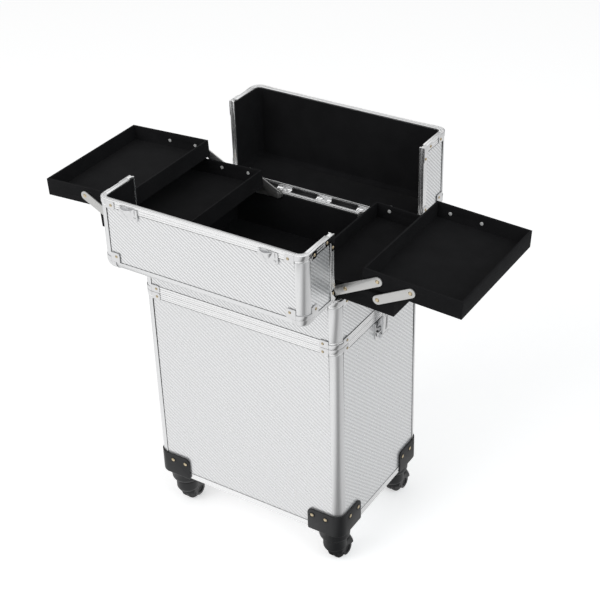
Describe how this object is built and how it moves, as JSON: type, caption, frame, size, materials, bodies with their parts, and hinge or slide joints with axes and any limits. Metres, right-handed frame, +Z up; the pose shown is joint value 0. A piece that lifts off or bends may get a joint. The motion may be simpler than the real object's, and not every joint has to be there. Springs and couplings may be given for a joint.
{
  "type": "rolling makeup case",
  "caption": "Rolling makeup case with a deep trolley bin, lift-off top with butterfly lids and cantilever trays, shown open.",
  "frame": {"origin": "on the floor under the centre of the case's footprint", "axes": "+Z up, +X to the right, +Y to the back; the front lid opens towards -Y"},
  "size_m": [0.704, 0.4492, 0.629],
  "materials": {
    "panel": "silver sheet embossed with a fine diamond pattern",
    "frame": "satin anodised extrusion",
    "chrome": "bright nickel-plated sheet",
    "brass": "pale polished rivet heads",
    "steel": "fine lengthways brushing",
    "felt": "short matte black felt over board",
    "plastic": "moulded, slightly grained",
    "wheel": "smooth moulded tread"
  },
  "bodies": {
    "trolley": {"lower_panels": "panel", "lower_lining": "felt", "lower_corner_posts": "frame", "lower_rims": "frame", "lower_rim_caps": "chrome", "caster_guards": "plastic", "lower_rivets": "brass", "side_latch_plates": "chrome", "handle_sleeves": "plastic"},
    "pull_handle": {"handle_tubes": "chrome", "pull_grip": "plastic"},
    "side_latch_left": {"side_latch_left": "chrome"},
    "side_latch_right": {"side_latch_right": "chrome"},
    "upper_case": {"base_panels": "panel", "base_lining": "felt", "base_corner_posts": "frame", "base_rims": "frame", "base_rim_caps": "chrome", "base_rivets": "brass", "base_hinge_leaves": "chrome", "side_latch_strikes": "chrome", "tray_pivot_plates": "steel"},
    "front_lid": {"front_lid_panels": "panel", "front_lid_lining": "felt", "front_lid_rails": "frame", "front_lid_rim": "frame", "front_lid_caps": "chrome", "front_lid_rivets": "brass", "front_lid_catches": "chrome", "front_lid_hinge_leaves": "chrome"},
    "rear_lid": {"rear_lid_panels": "panel", "rear_lid_lining": "felt", "rear_lid_rails": "frame", "rear_lid_rim": "frame", "rear_lid_caps": "chrome", "rear_lid_rivets": "brass", "rear_lid_hinge_leaves": "chrome", "lid_latch_plates": "chrome", "carry_handle_mounts": "plastic"},
    "lid_latch_left": {"lid_latch_left": "chrome"},
    "lid_latch_right": {"lid_latch_right": "chrome"},
    "carry_handle": {"carry_handle": "plastic"},
    "caster_fork_fl": {"caster_fork_fl": "plastic"},
    "caster_wheels_fl": {"caster_wheels_fl": "wheel"},
    "caster_fork_fr": {"caster_fork_fr": "plastic"},
    "caster_wheels_fr": {"caster_wheels_fr": "wheel"},
    "caster_fork_rl": {"caster_fork_rl": "plastic"},
    "caster_wheels_rl": {"caster_wheels_rl": "wheel"},
    "caster_fork_rr": {"caster_fork_rr": "plastic"},
    "caster_wheels_rr": {"caster_wheels_rr": "wheel"},
    "left_long_arms": {"left_long_arms": "steel"},
    "left_lower_tray": {"left_lower_tray": "felt"},
    "left_upper_tray": {"left_upper_tray": "felt"},
    "left_base_arms": {"left_base_arms": "steel"},
    "left_link_arms": {"left_link_arms": "steel"},
    "right_long_arms": {"right_long_arms": "steel"},
    "right_lower_tray": {"right_lower_tray": "felt"},
    "right_upper_tray": {"right_upper_tray": "felt"},
    "right_base_arms": {"right_base_arms": "steel"},
    "right_link_arms": {"right_link_arms": "steel"}
  },
  "joints": [
    {"name": "swivel_fl", "type": "hinge", "parent": "trolley", "child": "caster_fork_fl", "pos_m": [-0.142, -0.093, 0.06], "axis": [0, 0, 1], "continuous": true},
    {"name": "wheel_spin_fl", "type": "hinge", "parent": "caster_fork_fl", "child": "caster_wheels_fl", "pos_m": [-0.14162, -0.08201, 0.02], "axis": [-0.9994, 0.0349, 0], "continuous": true},
    {"name": "swivel_fr", "type": "hinge", "parent": "trolley", "child": "caster_fork_fr", "pos_m": [0.142, -0.093, 0.06], "axis": [0, 0, 1], "continuous": true},
    {"name": "wheel_spin_fr", "type": "hinge", "parent": "caster_fork_fr", "child": "caster_wheels_fr", "pos_m": [0.14238, -0.08201, 0.02], "axis": [-0.9994, 0.0349, 0], "continuous": true},
    {"name": "swivel_rl", "type": "hinge", "parent": "trolley", "child": "caster_fork_rl", "pos_m": [-0.142, 0.093, 0.06], "axis": [0, 0, 1], "continuous": true},
    {"name": "wheel_spin_rl", "type": "hinge", "parent": "caster_fork_rl", "child": "caster_wheels_rl", "pos_m": [-0.14162, 0.10399, 0.02], "axis": [-0.9994, 0.0349, 0], "continuous": true},
    {"name": "swivel_rr", "type": "hinge", "parent": "trolley", "child": "caster_fork_rr", "pos_m": [0.142, 0.093, 0.06], "axis": [0, 0, 1], "continuous": true},
    {"name": "wheel_spin_rr", "type": "hinge", "parent": "caster_fork_rr", "child": "caster_wheels_rr", "pos_m": [0.14238, 0.10399, 0.02], "axis": [-0.9994, 0.0349, 0], "continuous": true},
    {"name": "pull_handle_slide", "type": "slide", "parent": "trolley", "child": "pull_handle", "axis": [0, 0, 1], "range_m": [0, 0.06]},
    {"name": "side_latch_pivot_left", "type": "hinge", "parent": "trolley", "child": "side_latch_left", "pos_m": [-0.1747, 0, 0.3856], "axis": [0, -1, 0], "range_deg": [-3, 100]},
    {"name": "side_latch_pivot_right", "type": "hinge", "parent": "trolley", "child": "side_latch_right", "pos_m": [0.1747, 0, 0.3856], "axis": [0, 1, 0], "range_deg": [-3, 100]},
    {"name": "upper_case_lift", "type": "slide", "parent": "trolley", "child": "upper_case", "axis": [0, 0, 1], "range_m": [0, 0.12]},
    {"name": "front_lid_hinge", "type": "hinge", "parent": "upper_case", "child": "front_lid", "pos_m": [0, -0.124, 0.498], "axis": [-1, 0, 0], "range_deg": [0, 24]},
    {"name": "rear_lid_hinge", "type": "hinge", "parent": "upper_case", "child": "rear_lid", "pos_m": [0, 0.124, 0.498], "axis": [1, 0, 0], "range_deg": [0, 24]},
    {"name": "lid_latch_pivot_left", "type": "hinge", "parent": "rear_lid", "child": "lid_latch_left", "pos_m": [-0.115, 0.2057, 0.604], "axis": [-1, 0, 0], "range_deg": [-88, 7]},
    {"name": "lid_latch_pivot_right", "type": "hinge", "parent": "rear_lid", "child": "lid_latch_right", "pos_m": [0.115, 0.2057, 0.604], "axis": [-1, 0, 0], "range_deg": [-88, 7]},
    {"name": "carry_handle_pivot", "type": "hinge", "parent": "rear_lid", "child": "carry_handle", "pos_m": [0, 0.2091, 0.581], "axis": [1, 0, 0], "range_deg": [0, 100]},
    {"name": "left_tray_fold", "type": "hinge", "parent": "upper_case", "child": "left_long_arms", "pos_m": [-0.126, 0, 0.4958], "axis": [0, 1, 0], "range_deg": [0, 124.5]},
    {"name": "left_lower_tray_pivot", "type": "hinge", "parent": "left_long_arms", "child": "left_lower_tray", "pos_m": [-0.17612, 0, 0.52189], "axis": [0, 1, 0], "range_deg": [-124.5, 0]},
    {"name": "left_upper_tray_pivot", "type": "hinge", "parent": "left_long_arms", "child": "left_upper_tray", "pos_m": [-0.22623, 0, 0.54798], "axis": [0, 1, 0], "range_deg": [-124.5, 0]},
    {"name": "left_base_arm_pivot", "type": "hinge", "parent": "upper_case", "child": "left_base_arms", "pos_m": [-0.07607, 0, 0.49842], "axis": [0, 1, 0], "range_deg": [0, 124.5]},
    {"name": "left_link_arm_pivot", "type": "hinge", "parent": "left_lower_tray", "child": "left_link_arms", "pos_m": [-0.22605, 0, 0.51927], "axis": [0, 1, 0], "range_deg": [0, 124.5]},
    {"name": "right_tray_fold", "type": "hinge", "parent": "upper_case", "child": "right_long_arms", "pos_m": [0.126, 0, 0.4958], "axis": [0, -1, 0], "range_deg": [0, 124.5]},
    {"name": "right_lower_tray_pivot", "type": "hinge", "parent": "right_long_arms", "child": "right_lower_tray", "pos_m": [0.17612, 0, 0.52189], "axis": [0, -1, 0], "range_deg": [-124.5, 0]},
    {"name": "right_upper_tray_pivot", "type": "hinge", "parent": "right_long_arms", "child": "right_upper_tray", "pos_m": [0.22623, 0, 0.54798], "axis": [0, -1, 0], "range_deg": [-124.5, 0]},
    {"name": "right_base_arm_pivot", "type": "hinge", "parent": "upper_case", "child": "right_base_arms", "pos_m": [0.07607, 0, 0.49842], "axis": [0, -1, 0], "range_deg": [0, 124.5]},
    {"name": "right_link_arm_pivot", "type": "hinge", "parent": "right_lower_tray", "child": "right_link_arms", "pos_m": [0.22605, 0, 0.51927], "axis": [0, -1, 0], "range_deg": [0, 124.5]}
  ],
  "couplings": [
    {"joint": "left_lower_tray_pivot", "follows": "left_tray_fold", "ratio": -1},
    {"joint": "left_upper_tray_pivot", "follows": "left_tray_fold", "ratio": -1},
    {"joint": "left_base_arm_pivot", "follows": "left_tray_fold", "ratio": 1},
    {"joint": "left_link_arm_pivot", "follows": "left_tray_fold", "ratio": 1},
    {"joint": "right_lower_tray_pivot", "follows": "right_tray_fold", "ratio": -1},
    {"joint": "right_upper_tray_pivot", "follows": "right_tray_fold", "ratio": -1},
    {"joint": "right_base_arm_pivot", "follows": "right_tray_fold", "ratio": 1},
    {"joint": "right_link_arm_pivot", "follows": "right_tray_fold", "ratio": 1}
  ]
}
